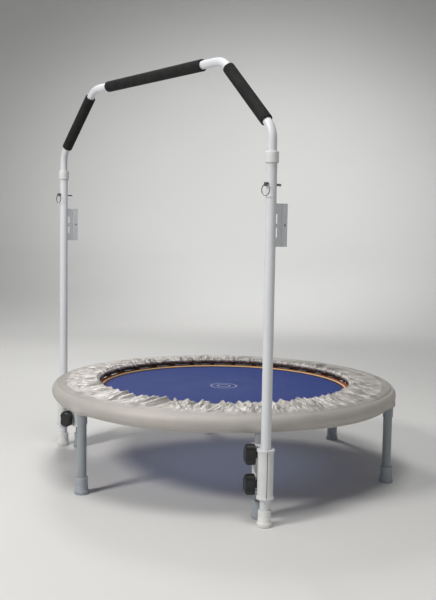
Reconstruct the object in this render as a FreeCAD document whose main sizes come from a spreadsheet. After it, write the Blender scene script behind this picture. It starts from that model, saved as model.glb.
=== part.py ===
import FreeCAD, Part
import math
import os
import Sketcher

# Mini trampoline with a handlebar, in millimetres.
# +Z is up and the origin is on the floor under the centre of the round frame.
# The handlebar stands on the -Y side. The object is symmetric about the YZ plane.

os.makedirs("parts", exist_ok=True)
doc = FreeCAD.newDocument("mini_trampoline")
sheet = doc.addObject("Spreadsheet::Sheet", "size")
nodes = {}

# ---------------------------------------------------------------- driving dimensions

SIZES = [
    ("ring_radius", 497.5, "centreline radius of the round frame tube"),
    ("ring_height", 232, "height of that centreline"),
    ("tube_diameter", 25, "frame, leg and post tube"),
    ("tube_wall", 1.5, "wall of the frame and leg tubes"),
    ("leg_top", 216, "upper end of a leg inside its socket"),
    ("socket_diameter", 28.6, "leg socket welded under the ring"),
    ("socket_bore", 25.2, "bore of the leg socket"),
    ("socket_bottom", 189.5, "lower end of the socket"),
    ("socket_top", 229, "upper end of the socket's saddle"),
    ("foot_floor", 6, "rubber under the end of a tube"),
    ("foot_bore", 25.2, "bore of a rubber foot"),
    ("leg_foot_height", 46, "rubber foot of a leg"),
    ("leg_foot_base", 39, "its width at the floor"),
    ("leg_foot_neck", 33, "its width at the top"),
    ("post_foot_height", 40, "rubber foot of a handlebar post"),
    ("post_foot_base", 38, "its width at the floor"),
    ("post_foot_neck", 32, "its width at the top"),
    ("foot_edge", 1, "bevel of a foot's edges"),
    ("foot_rim", 8, "height of a foot's plain rim"),
    ("foot_step", 1.5, "height of the step above that rim"),
    ("foot_swell", 2.2, "how far a foot's ribbed body stands out past its neck"),
    ("foot_taper", 0.1, "how much the ribbed body narrows per height"),
    ("foot_neck_height", 8, "height of a foot's plain neck"),
    ("rib_start", 12, "floor to the first groove"),
    ("rib_pitch", 6, "groove to groove"),
    ("rib_half", 1, "half the width of a groove"),
    ("rib_depth", 0.8, "depth of a groove"),
    ("post_gap", 60, "leg axis to post axis"),
    ("post_wall", 1.2, "wall of a post"),
    ("post_top", 885, "upper end of a post"),
    ("collar_bottom", 868, "plastic guide collar on the post"),
    ("collar_top", 895, "its upper end"),
    ("collar_diameter", 32, "its outer diameter"),
    ("collar_bore", 22.8, "bore that guides the arch"),
    ("collar_play", 0.1, "gap between collar and post"),
    ("collar_foot_edge", 0.6, "bevel of the collar's lower edge"),
    ("collar_top_edge", 1.5, "bevel of the collar's upper edge"),
    ("pin_height", 818, "lock pins through posts and arch"),
    ("pin_diameter", 6, "lock pin shank"),
    ("pin_hole", 6.6, "hole in the post for the pin"),
    ("pin_flange", 10, "stop flange of the pin"),
    ("pin_flange_gap", 0.5, "post to that flange"),
    ("pin_flange_thickness", 1.5, "its thickness"),
    ("pin_tip", 30, "post axis to the pin's free end"),
    ("pin_eye", 18.8, "post axis to the eye in the pin's tab"),
    ("pin_tab", 3, "thickness of that tab"),
    ("pin_tab_height", 9, "height of that tab"),
    ("pin_tab_cap", 4.2, "eye centre to the tab's end"),
    ("pin_bevel", 1, "bevel of the pin's free end"),
    ("eye_diameter", 4.2, "eye for the split ring"),
    ("ring_pull_radius", 13.2, "centreline radius of the split ring"),
    ("ring_pull_wire", 2.8, "thickness of the split ring"),
    ("arch_diameter", 22, "tube of the sliding arch"),
    ("arch_wall", 1.5, "its wall"),
    ("arch_bottom", 700, "lower ends of the arch, inside the posts"),
    ("arch_corner", 947, "height where the side tubes lean inwards"),
    ("arch_top", 1129, "centreline height of the top bar"),
    ("arch_bend", 60, "centreline radius of the four bends"),
    ("arch_travel", 100, "height adjustment"),
    ("slot_width", 6.8, "slot in the arch ends for the pins"),
    ("grip_diameter", 31, "foam grips"),
    ("grip_bore", 22.2, "bore of a grip"),
    ("side_grip", 200, "length of a side grip"),
    ("top_grip", 442, "length of the top grip"),
    ("holder_side", 15, "square accessory tube"),
    ("holder_wall", 1.2, "its wall"),
    ("holder_bottom", 673, "its lower end"),
    ("holder_height", 102, "its length"),
    ("holder_offset", 40, "post axis to accessory tube axis"),
    ("holder_hole", 6, "cross hole in the accessory tube"),
    ("bracket_thickness", 3, "plate between post and accessory tube"),
    ("window_width", 8, "the plate's two windows"),
    ("window_height", 23, "their height"),
    ("window_gap", 2, "post to the windows"),
    ("window_low", 22, "lower window above the plate's lower end"),
    ("window_high", 54, "upper window above the plate's lower end"),
    ("clamp_bottom", 68, "lower end of the clamps"),
    ("clamp_height", 121, "their height"),
    ("clamp_sleeve", 38.6, "outer diameter round each tube"),
    ("clamp_bore", 25.2, "bore round each tube"),
    ("clamp_lip", 43, "lip at both ends of each sleeve"),
    ("clamp_lip_height", 6, "height of a lip"),
    ("clamp_web", 16, "thickness of the web between the sleeves"),
    ("clamp_split", 2, "gap between the two halves"),
    ("bolt_low", 95, "height of the lower clamp bolt"),
    ("bolt_high", 169, "height of the upper clamp bolt"),
    ("bolt_diameter", 8, "clamp bolt"),
    ("bolt_hole", 8.8, "hole in the clamp halves"),
    ("bolt_head", 17, "round head behind the clamp"),
    ("bolt_head_height", 4, "its height"),
    ("bolt_reach", 38, "split plane to the end of the bolt in the knob"),
    ("knob_diameter", 52, "length of the wing knob"),
    ("knob_width", 31, "its width"),
    ("knob_back", 20.5, "split plane to the back of the knob's wings"),
    ("knob_depth", 25, "depth of the wings"),
    ("knob_hub", 19, "diameter of the knob's hub"),
    ("knob_hub_start", 9, "split plane to the face of the hub"),
    ("knob_bore", 8.7, "bore that turns on the bolt"),
    ("knob_edge", 2, "radius of its back edge"),
    ("knob_dome", 10, "radius of its front edge"),
    ("knob_play", 0.5, "gap between the bolt's end and the knob"),
    ("waist_radius", 44, "hollows in the knob's two long sides"),
    ("waist_depth", 2, "depth of those hollows"),
    ("waist_excess", 1, "how far a hollow's cut runs past the wings"),
    ("mat_radius", 366, "jumping mat"),
    ("mat_bottom", 238.4, "its underside"),
    ("mat_thickness", 1.6, "its thickness"),
    ("band_inner", 356, "webbing under the mat's edge"),
    ("band_outer", 385, "its outer radius"),
    ("band_thickness", 1.9, "its thickness"),
    ("piping_radius", 368.5, "piping on the mat's edge"),
    ("piping_height", 240.9, "its centre height"),
    ("piping_thickness", 5, "its diameter"),
    ("spring_count", 36, "springs round the mat"),
    ("spring_height", 237.4, "plane of the springs"),
    ("link_bar_radius", 396, "outer bar of a mat link"),
    ("link_root_radius", 381, "sewn-in bar of a mat link"),
    ("link_half_width", 6, "half the length of a link's outer bar"),
    ("link_root_half_width", 10, "half the length of its sewn-in bar"),
    ("link_wire", 3, "wire of the mat links and ring anchors"),
    ("anchor_bar_radius", 480, "bar of a ring anchor"),
    ("anchor_root_radius", 487.5, "where an anchor is welded to the ring"),
    ("coil_start", 404, "inner end of a spring's coils"),
    ("coil_end", 472, "outer end of a spring's coils"),
    ("coil_diameter", 14, "outer diameter of the coils"),
    ("coil_wall", 1.6, "wall that stands for the coiled wire"),
    ("eye_radius", 4.5, "centreline radius of a spring's end eyes"),
    ("eye_wire", 2.2, "wire of a spring's end eyes"),
    ("eye_shift", 1.5, "eye centre to the bar that it holds"),
    ("neck_wire", 1.8, "straight wire between eye and coils"),
    ("crossbar_inset", 3.3, "end of the coils to the bar across them"),
    ("cover_radius", 515, "outer radius of the edge cover"),
    ("cover_opening", 371, "inner radius of the edge cover"),
    ("cover_bottom", 214, "lower edge of the cover's side band"),
    ("cover_top", 262, "top of the cover"),
    ("cover_thickness", 2.2, "thickness of the cover"),
    ("cover_shoulder", 10, "radius of the cover's outer edge"),
    ("cover_lip", 256, "lower edge of the cover's inner hem"),
    ("foam_inner", 380, "foam pad under the cover"),
    ("foam_outer", 505, "its outer radius"),
    ("foam_bottom", 247.5, "its underside"),
    ("foam_thickness", 10, "its thickness"),
    ("elastic_radius", 376.5, "elastic in the inner hem"),
    ("elastic_height", 257, "its height"),
    ("elastic_thickness", 4, "its diameter"),
    ("skirt_elastic", 1.4, "thickness of the elastic in the lower hem"),
    ("skirt_elastic_height", 216, "its height"),
]

for row, (alias, value, meaning) in enumerate(SIZES, start=1):
    sheet.set(f"A{row}", meaning)
    sheet.set(f"B{row}", str(value))
    sheet.setAlias(f"B{row}", alias)
doc.recompute()

LEG_ANGLES = {f"{k + 1}": -90 + 60 * k for k in range(6)}
SIDES = {"right": 1, "left": -1}
POST_ANGLE = 30


def size(expression):
    """The number that an expression of the sheet's aliases gives."""
    value = sheet.evalExpression(expression)
    return float(getattr(value, "Value", value))


# ---------------------------------------------------------------- ways to build a piece


def keep(name, piece):
    """Names a finished piece, so that it is written to a file of its own."""
    piece.Label = name
    nodes[name] = piece
    return piece


def place(piece, x="0", y="0", z="0", turn=0, axis=(0, 0, 1)):
    """Turns a piece about an axis and puts it at a point given by expressions."""
    piece.Placement = FreeCAD.Placement(
        FreeCAD.Vector(), FreeCAD.Rotation(FreeCAD.Vector(*axis), turn)
    )
    for letter, expression in (("x", x), ("y", y), ("z", z)):
        piece.setExpression(f"Placement.Base.{letter}", expression)
    return piece


def place_on_circle(piece, radius, angle):
    """Turns a piece by an angle about Z and puts it on a circle of that radius."""
    x = f"({radius}) * cos({angle} deg)"
    y = f"({radius}) * sin({angle} deg)"
    return place(piece, x, y, turn=angle)


def new_body(name):
    return doc.addObject("PartDesign::Body", name)


def new_sketch(body, plane, lift="0"):
    """A sketch on one of the body's own origin planes, lifted along its normal."""
    sketch = body.newObject("Sketcher::SketchObject", f"{body.Name}_sketch")
    support = next(f for f in body.Origin.OriginFeatures if f.Role == plane)
    sketch.AttachmentSupport = (support, "")
    sketch.MapMode = "FlatFace"
    sketch.setExpression("AttachmentOffset.Base.z", lift)
    return sketch


def pin_point(sketch, geometry, position, x, y):
    """Fixes a point of the sketch at distances that the sheet drives."""
    for kind, expression in (("DistanceX", x), ("DistanceY", y)):
        index = sketch.addConstraint(
            Sketcher.Constraint(kind, -1, 1, geometry, position, size(expression))
        )
        sketch.setExpression(f"Constraints[{index}]", expression)


def set_radius(sketch, geometry, expression):
    index = sketch.addConstraint(
        Sketcher.Constraint("Radius", geometry, size(expression))
    )
    sketch.setExpression(f"Constraints[{index}]", expression)


def draw_circle(sketch, x, y, radius):
    centre = FreeCAD.Vector(size(x), size(y), 0)
    circle = Part.Circle(centre, FreeCAD.Vector(0, 0, 1), size(radius))
    index = sketch.addGeometry(circle)
    pin_point(sketch, index, 3, x, y)
    set_radius(sketch, index, radius)


def draw_path(sketch, corners, closed=True):
    """Lines and arcs through corners (x, y) or (x, y, radius, turn).

    All but turn are expressions. A radius makes the stretch that ends at that corner
    an arc, whose centre is on the left or the right of the way there, as turn says.
    """
    count = len(corners)
    starts, ends = [], []
    for k in range(count if closed else count - 1):
        here, there = corners[k], corners[(k + 1) % count]
        a = FreeCAD.Vector(size(here[0]), size(here[1]), 0)
        b = FreeCAD.Vector(size(there[0]), size(there[1]), 0)
        if len(there) == 2:
            index = sketch.addGeometry(Part.LineSegment(a, b))
            first, last = 1, 2
        else:
            radius, turn = size(there[2]), there[3]
            chord = b - a
            normal = FreeCAD.Vector(-chord.y, chord.x, 0).normalize()
            side = 1 if turn == "left" else -1
            height = math.sqrt(max(radius**2 - (chord.Length / 2) ** 2, 0))
            centre = a + chord * 0.5 + normal * (side * height)
            angles = [math.atan2(p.y - centre.y, p.x - centre.x) for p in (a, b)]
            if turn == "right":
                angles.reverse()
            circle = Part.Circle(centre, FreeCAD.Vector(0, 0, 1), radius)
            index = sketch.addGeometry(Part.ArcOfCircle(circle, *angles))
            first, last = (1, 2) if turn == "left" else (2, 1)
            set_radius(sketch, index, there[2])
        starts.append((index, first))
        ends.append((index, last))
        pin_point(sketch, index, first, here[0], here[1])
    for k in range(len(ends) - (0 if closed else 1)):
        following = starts[(k + 1) % len(starts)]
        sketch.addConstraint(Sketcher.Constraint("Coincident", *ends[k], *following))
    if not closed:
        pin_point(sketch, *ends[-1], corners[-1][0], corners[-1][1])


def revolve(body, sketch):
    """Turns a profile drawn on the XZ plane once about Z."""
    feature = body.newObject("PartDesign::Revolution", f"{body.Name}_turned")
    feature.Profile = sketch
    feature.ReferenceAxis = (sketch, ["V_Axis"])
    feature.Angle = 360
    return feature


def turned(name, corners):
    """A body of revolution about Z, from corners (radius, height)."""
    body = new_body(name)
    sketch = new_sketch(body, "XZ_Plane")
    draw_path(sketch, corners)
    revolve(body, sketch)
    return keep(name, body)


def round_ring(name, radius, height, thickness, bore=None):
    """A ring of round section about Z, hollow if it has a bore."""
    body = new_body(name)
    sketch = new_sketch(body, "XZ_Plane")
    draw_circle(sketch, radius, height, f"({thickness}) / 2")
    if bore:
        draw_circle(sketch, radius, height, f"({bore}) / 2")
    revolve(body, sketch)
    return keep(name, body)


def upright_tube(name, diameter, bore, bottom, top):
    """A round tube along Z."""
    body = new_body(name)
    sketch = new_sketch(body, "XY_Plane", bottom)
    draw_circle(sketch, "0", "0", f"({diameter}) / 2")
    draw_circle(sketch, "0", "0", f"({bore}) / 2")
    pad = body.newObject("PartDesign::Pad", f"{body.Name}_pad")
    pad.Profile = sketch
    pad.setExpression("Length", f"({top}) - ({bottom})")
    return body


def cylinder(name, diameter, length, x="0", y="0", z="0", turn=0, axis=(1, 0, 0)):
    piece = doc.addObject("Part::Cylinder", name)
    piece.setExpression("Radius", f"({diameter}) / 2")
    piece.setExpression("Height", length)
    return place(piece, x, y, z, turn, axis)


def block(name, lengths, corner):
    piece = doc.addObject("Part::Box", name)
    for side, expression in zip(("Length", "Width", "Height"), lengths):
        piece.setExpression(side, expression)
    return place(piece, *corner)


def centred(length):
    """The start of a stretch of that length that has 0 at its middle."""
    return f"-({length}) / 2"


def fuse(name, pieces):
    piece = doc.addObject("Part::MultiFuse", name)
    piece.Shapes = pieces
    return piece


def cut(name, base, tools):
    """The base less each tool in turn."""
    for k, tool in enumerate(tools):
        piece = doc.addObject("Part::Cut", f"{name}_cut_{k}")
        piece.Base = base
        piece.Tool = tool
        base = piece
    return base


def common(name, base, tool):
    piece = doc.addObject("Part::Common", name)
    piece.Base = base
    piece.Tool = tool
    return piece


# ---------------------------------------------------------------- frame, legs and feet

TUBE_BORE = "size.tube_diameter - 2 * size.tube_wall"
FOOT_RIBS = 3


def make_frame_ring():
    round_ring(
        "frame_ring", "size.ring_radius", "size.ring_height", "size.tube_diameter", TUBE_BORE
    )


def make_leg_socket(label, angle):
    """A short tube whose top is a saddle under the ring tube."""
    name = f"leg_socket_{label}"
    height = "size.socket_top - size.socket_bottom"
    bottom = "size.socket_bottom"
    outer = cylinder(f"{name}_outer", "size.socket_diameter", height, z=bottom)
    bore = cylinder(f"{name}_bore", "size.socket_bore", height, z=bottom)
    ring = doc.addObject("Part::Torus", f"{name}_ring")
    ring.setExpression("Radius1", "size.ring_radius")
    ring.setExpression("Radius2", "size.tube_diameter / 2")
    place(ring, x="-size.ring_radius", z="size.ring_height")
    socket = cut(name, outer, [bore, ring])
    keep(name, place_on_circle(socket, "size.ring_radius", angle))


def make_leg(label, angle):
    name = f"leg_{label}"
    leg = upright_tube(name, "size.tube_diameter", TUBE_BORE, "size.foot_floor", "size.leg_top")
    keep(name, place_on_circle(leg, "size.ring_radius", angle))


def make_foot(name, kind, radius, angle):
    """A rubber foot: a wide base, a tapering ribbed body and a blind bore."""
    base, neck, top = (f"size.{kind}_foot_{k}" for k in ("base", "neck", "height"))
    edge, rim, swell = "size.foot_edge", "size.foot_rim", "size.foot_swell"
    corners = [
        ("0", "0"),
        (f"{base} / 2 - {edge}", "0"),
        (f"{base} / 2", edge),
        (f"{base} / 2", rim),
        (f"{neck} / 2 + {swell}", f"{rim} + size.foot_step"),
    ]
    for k in range(FOOT_RIBS):
        low = f"(size.rib_start + {k} * size.rib_pitch)"
        side = f"{neck} / 2 + {swell} - size.foot_taper * {low}"
        corners += [
            (side, low),
            (f"{side} - size.rib_depth", f"{low} + size.rib_half"),
            (side, f"{low} + 2 * size.rib_half"),
        ]
    corners += [
        (f"{neck} / 2", f"{top} - size.foot_neck_height"),
        (f"{neck} / 2", f"{top} - {edge}"),
        (f"{neck} / 2 - {edge}", top),
        ("size.foot_bore / 2", top),
        ("size.foot_bore / 2", "size.foot_floor"),
        ("0", "size.foot_floor"),
    ]
    place_on_circle(turned(name, corners), radius, angle)


# ---------------------------------------------------------------- jumping mat and springs


def rod(start, end, wire):
    """A round bar with round ends, from point to point."""
    way = end - start
    bar = Part.makeCylinder(wire / 2, way.Length, start, way)
    balls = [Part.makeSphere(wire / 2, p) for p in (start, end)]
    return bar.multiFuse(balls).removeSplitter()


def around(name, shape):
    """Copies of one small solid, evenly spaced round the mat."""
    count = int(size("size.spring_count"))
    copies = []
    for k in range(count):
        copy = shape.copy()
        copy.rotate(FreeCAD.Vector(), FreeCAD.Vector(0, 0, 1), 360 * (k + 0.5) / count)
        copies.append(copy)
    piece = doc.addObject("Part::Feature", name)
    piece.Shape = Part.makeCompound(copies)
    keep(name, piece)


def wire_loop(radius_low, half_low, radius_high, half_high, closed):
    """A flat link of bent wire in the plane of the springs."""
    height = size("size.spring_height")
    wire = size("size.link_wire")
    points = [
        FreeCAD.Vector(radius_low, -half_low, height),
        FreeCAD.Vector(radius_high, -half_high, height),
        FreeCAD.Vector(radius_high, half_high, height),
        FreeCAD.Vector(radius_low, half_low, height),
    ]
    ends = points[1:] + points[:1]
    rods = [rod(a, b, wire) for a, b in zip(points, ends)]
    if not closed:
        rods.pop()
    return rods[0].multiFuse(rods[1:]).removeSplitter()


def make_mat_links():
    link = wire_loop(
        size("size.link_root_radius"),
        size("size.link_root_half_width"),
        size("size.link_bar_radius"),
        size("size.link_half_width"),
        closed=True,
    )
    around("mat_links", link)


def make_spring_anchors():
    anchor = wire_loop(
        size("size.anchor_root_radius"),
        size("size.link_half_width"),
        size("size.anchor_bar_radius"),
        size("size.link_half_width"),
        closed=False,
    )
    around("spring_anchors", anchor)


def make_springs():
    """Each spring's coils as a thin tube, with a crossbar, a neck and an eye at both ends."""
    height = size("size.spring_height")
    start, end = size("size.coil_start"), size("size.coil_end")
    coil, wall = size("size.coil_diameter") / 2, size("size.coil_wall")
    along = FreeCAD.Vector(1, 0, 0)
    tube = Part.makeCylinder(coil, end - start, FreeCAD.Vector(start, 0, height), along)
    tube = tube.cut(
        Part.makeCylinder(coil - wall, end - start, FreeCAD.Vector(start, 0, height), along)
    )
    wire, eye = size("size.eye_wire"), size("size.eye_radius")
    neck_wire, inset = size("size.neck_wire"), size("size.crossbar_inset")
    shift = size("size.eye_shift")
    reach = coil - wall / 2
    pieces = []
    for bar, coil_face, way in (
        (size("size.link_bar_radius"), start, 1),
        (size("size.anchor_bar_radius"), end, -1),
    ):
        centre = FreeCAD.Vector(bar + way * shift, 0, height)
        pieces.append(Part.makeTorus(eye, wire / 2, centre, FreeCAD.Vector(0, 1, 0)))
        neck_start = FreeCAD.Vector(centre.x + way * eye, 0, height)
        crossing = FreeCAD.Vector(coil_face + way * inset, 0, height)
        neck = crossing - neck_start
        pieces.append(Part.makeCylinder(neck_wire / 2, neck.Length, neck_start, neck))
        crossbar_foot = crossing - FreeCAD.Vector(0, 0, reach)
        pieces.append(Part.makeCylinder(wire / 2, 2 * reach, crossbar_foot))
    around("springs", tube.multiFuse(pieces).removeSplitter())


def ring_profile(inner, outer, bottom, thickness):
    """A flat ring's rectangular profile."""
    top = f"{bottom} + {thickness}"
    return [(inner, bottom), (outer, bottom), (outer, top), (inner, top)]


def make_mat():
    turned("jumping_mat", ring_profile("0", "size.mat_radius", "size.mat_bottom", "size.mat_thickness"))
    band_bottom = "size.mat_bottom - size.band_thickness"
    turned(
        "mat_edge_band",
        ring_profile("size.band_inner", "size.band_outer", band_bottom, "size.band_thickness"),
    )
    round_ring("mat_piping", "size.piping_radius", "size.piping_height", "size.piping_thickness")


# ---------------------------------------------------------------- edge cover


def make_cover():
    """A side band, a rounded shoulder, a flat top and a turned-down inner hem."""
    outer, inner = "size.cover_radius", "size.cover_opening"
    top, wall = "size.cover_top", "size.cover_thickness"
    shoulder = "size.cover_shoulder"
    corners = [
        (outer, "size.cover_bottom"),
        (outer, f"{top} - {shoulder}"),
        (f"{outer} - {shoulder}", top, shoulder, "left"),
        (inner, top),
        (inner, "size.cover_lip"),
        (f"{inner} + {wall}", "size.cover_lip"),
        (f"{inner} + {wall}", f"{top} - {wall}"),
        (f"{outer} - {shoulder}", f"{top} - {wall}"),
        (f"{outer} - {wall}", f"{top} - {shoulder}", f"{shoulder} - {wall}", "right"),
        (f"{outer} - {wall}", "size.cover_bottom"),
    ]
    turned("edge_cover", corners)
    turned(
        "edge_foam",
        ring_profile("size.foam_inner", "size.foam_outer", "size.foam_bottom", "size.foam_thickness"),
    )
    round_ring("hem_elastic", "size.elastic_radius", "size.elastic_height", "size.elastic_thickness")
    middle = f"{outer} - {wall} / 2"
    round_ring("skirt_elastic", middle, "size.skirt_elastic_height", "size.skirt_elastic")


# ---------------------------------------------------------------- handlebar posts

POST_RADIUS = "(size.ring_radius + size.post_gap)"
POST_X = f"{POST_RADIUS} * cos({POST_ANGLE} deg)"
POST_Y = f"-{POST_RADIUS} * sin({POST_ANGLE} deg)"


def at_post(piece, side):
    return place(piece, f"{SIDES[side]} * {POST_X}", POST_Y)


def along_y(name, diameter, start, end, z):
    """A cylinder along Y, from one place to another."""
    return cylinder(name, diameter, f"({end}) - ({start})", y=end, z=z, turn=90)


def make_post(side):
    name = f"post_{side}"
    bore = "size.tube_diameter - 2 * size.post_wall"
    tube = upright_tube(f"{name}_tube", "size.tube_diameter", bore, "size.foot_floor", "size.post_top")
    width = "size.tube_diameter"
    hole = along_y(f"{name}_hole", "size.pin_hole", f"-{width}", width, "size.pin_height")
    keep(name, at_post(cut(name, tube, [hole]), side))


def make_collar(side):
    """A guide collar: it sits on the post's end and its lip guides the arch."""
    outer, bore = "size.collar_diameter / 2", "size.collar_bore / 2"
    play, foot_edge, top_edge = "size.collar_play", "size.collar_foot_edge", "size.collar_top_edge"
    seat = f"size.tube_diameter / 2 + {play}"
    corners = [
        (seat, "size.collar_bottom"),
        (f"{outer} - {foot_edge}", "size.collar_bottom"),
        (outer, f"size.collar_bottom + {foot_edge}"),
        (outer, f"size.collar_top - {top_edge}"),
        (f"{outer} - {top_edge}", "size.collar_top"),
        (bore, "size.collar_top"),
        (bore, f"size.post_top + {play}"),
        (seat, f"size.post_top + {play}"),
    ]
    at_post(turned(f"post_collar_{side}", corners), side)


def make_accessory_holder(side):
    """A square socket tube held beside the post by a plate with two windows."""
    side_length, wall = "size.holder_side", "size.holder_wall"
    bottom, height = "size.holder_bottom", "size.holder_height"
    middle = "size.holder_offset"
    bore = f"{side_length} - 2 * {wall}"
    name = f"accessory_tube_{side}"
    outer = block(
        f"{name}_outer",
        (side_length, side_length, height),
        (centred(side_length), f"{middle} - {side_length} / 2", bottom),
    )
    inner = block(
        f"{name}_inner", (bore, bore, height), (centred(bore), f"{middle} - ({bore}) / 2", bottom)
    )
    hole = cylinder(
        f"{name}_hole",
        "size.holder_hole",
        f"2 * {side_length}",
        x=f"-{side_length}",
        y=middle,
        z=f"{bottom} + {height} / 2",
        turn=90,
        axis=(0, 1, 0),
    )
    keep(name, at_post(cut(name, outer, [inner, hole]), side))

    name = f"holder_bracket_{side}"
    thickness = "size.bracket_thickness"
    reach = f"{middle} - {side_length} / 2"
    plate = block(f"{name}_plate", (thickness, reach, height), (centred(thickness), "0", bottom))
    tools = [cylinder(f"{name}_post", "size.tube_diameter", height, z=bottom)]
    window_y = "size.tube_diameter / 2 + size.window_gap"
    for k, level in enumerate(("size.window_low", "size.window_high")):
        lengths = (f"2 * {thickness}", "size.window_width", "size.window_height")
        corner = (f"-{thickness}", window_y, f"{bottom} + {level}")
        tools.append(block(f"{name}_window_{k}", lengths, corner))
    keep(name, at_post(cut(name, plate, tools), side))


# ---------------------------------------------------------------- sliding arch and grips


def make_arch():
    """One bent tube: two upright ends, two leaning stretches and a level top."""
    half, corner, top = POST_X, "size.arch_corner", "size.arch_top"
    bend = "size.arch_bend"
    tangent = f"({bend} * tan(22.5 deg))"
    slant = f"({tangent} * cos(45 deg))"
    top_half = f"({half} - ({top} - {corner}))"
    right_side = [
        (half, "size.arch_bottom"),
        (half, f"{corner} - {tangent}"),
        (f"{half} - {slant}", f"{corner} + {slant}", bend, "left"),
        (f"{top_half} + {slant}", f"{top} - {slant}"),
        (f"{top_half} - {tangent}", top, bend, "left"),
    ]
    left_side = [
        (f"-({top_half} - {tangent})", top),
        (f"-({top_half} + {slant})", f"{top} - {slant}", bend, "left"),
        (f"-({half} - {slant})", f"{corner} + {slant}"),
        (f"-{half}", f"{corner} - {tangent}", bend, "left"),
        (f"-{half}", "size.arch_bottom"),
    ]
    body = new_body("arch_tube")
    spine = new_sketch(body, "XZ_Plane")
    draw_path(spine, right_side + left_side, closed=False)
    section = new_sketch(body, "XY_Plane", "size.arch_bottom")
    draw_circle(section, half, "0", "size.arch_diameter / 2")
    draw_circle(section, half, "0", "size.arch_diameter / 2 - size.arch_wall")
    pipe = body.newObject("PartDesign::AdditivePipe", "arch_pipe")
    pipe.Profile = section
    pipe.Spine = spine
    slots = []
    travel, width = "size.arch_travel", "size.arch_diameter"
    for side, sign in SIDES.items():
        x = f"{sign} * {half}"
        name = f"arch_slot_{side}"
        slot_bottom = f"size.pin_height - {travel}"
        middle = block(
            f"{name}_middle",
            ("size.slot_width", f"2 * {width}", travel),
            (f"{x} - size.slot_width / 2", f"-{width}", slot_bottom),
        )
        ends = [
            cylinder(f"{name}_end_{k}", "size.slot_width", f"2 * {width}", x, width, z, 90)
            for k, z in enumerate((slot_bottom, "size.pin_height"))
        ]
        slots.append(fuse(name, [middle, *ends]))
    keep("handlebar_arch", place(cut("handlebar_arch", body, slots), y=POST_Y))


def make_grips():
    """Foam sleeves on the three straight stretches of the arch."""
    top_half = f"({POST_X} - (size.arch_top - size.arch_corner))"
    middle_x = f"(({POST_X} + {top_half}) / 2)"
    middle_z = "((size.arch_top + size.arch_corner) / 2)"
    reach = "size.side_grip / 2 * cos(45 deg)"
    stretches = {
        "grip_centre": ("size.top_grip", "-size.top_grip / 2", "size.arch_top", 90),
        "grip_right": ("size.side_grip", f"{middle_x} + {reach}", f"{middle_z} - {reach}", -45),
        "grip_left": ("size.side_grip", f"-({middle_x} + {reach})", f"{middle_z} - {reach}", 45),
    }
    for name, (length, x, z, lean) in stretches.items():
        grip = upright_tube(name, "size.grip_diameter", "size.grip_bore", "0", length)
        keep(name, place(grip, x, POST_Y, z, lean, (0, 1, 0)))


# ---------------------------------------------------------------- lock pins


def make_lock_pin(side):
    """A pin along Y with a stop flange and a flat tab whose eye holds the ring."""
    name = f"lock_pin_{side}"
    level = "size.pin_height"
    width, bevel = "size.pin_diameter", "size.pin_bevel"
    flange_back = "size.tube_diameter / 2 + size.pin_flange_gap"
    tab_start = f"{flange_back} + size.pin_flange_thickness"
    tab_end = "size.pin_eye + size.pin_tab_cap"
    shank = along_y(f"{name}_shank", width, f"-({tab_start})", f"size.pin_tip - {bevel}", level)
    tip = along_y(f"{name}_tip", f"{width} - 2 * {bevel}", f"-({tab_start})", "size.pin_tip", level)
    flange = along_y(f"{name}_flange", "size.pin_flange", f"-({tab_start})", f"-({flange_back})", level)
    tab = block(
        f"{name}_tab",
        ("size.pin_tab", f"{tab_end} - ({flange_back})", "size.pin_tab_height"),
        (centred("size.pin_tab"), f"-({tab_end})", f"{level} - size.pin_tab_height / 2"),
    )
    eye = cylinder(
        f"{name}_eye",
        "size.eye_diameter",
        "2 * size.pin_tab",
        x="-size.pin_tab",
        y="-size.pin_eye",
        z=level,
        turn=90,
        axis=(0, 1, 0),
    )
    solid = fuse(f"{name}_solid", [shank, tip, flange, tab])
    keep(name, at_post(cut(name, solid, [eye]), side))

    ring = doc.addObject("Part::Torus", f"pin_ring_{side}")
    ring.setExpression("Radius1", "size.ring_pull_radius")
    ring.setExpression("Radius2", "size.ring_pull_wire / 2")
    place(
        ring,
        f"{SIDES[side]} * {POST_X}",
        f"{POST_Y} - size.pin_eye",
        f"{level} - size.ring_pull_radius",
        90,
        (1, 0, 0),
    )
    keep(f"pin_ring_{side}", ring)


# ---------------------------------------------------------------- clamps and knobs

CLAMP_RADIUS = "(size.ring_radius + size.post_gap / 2)"
CLAMP_X = f"{CLAMP_RADIUS} * cos({POST_ANGLE} deg)"
CLAMP_Y = f"-{CLAMP_RADIUS} * sin({POST_ANGLE} deg)"
BOLT_LEVELS = {"lower": "size.bolt_low", "upper": "size.bolt_high"}


def at_clamp(piece, side):
    """X of the clamp's own frame runs from tube to tube, and the knobs face -Y."""
    sign = SIDES[side]
    return place(piece, f"{sign} * {CLAMP_X}", CLAMP_Y, turn=-sign * POST_ANGLE)


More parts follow.
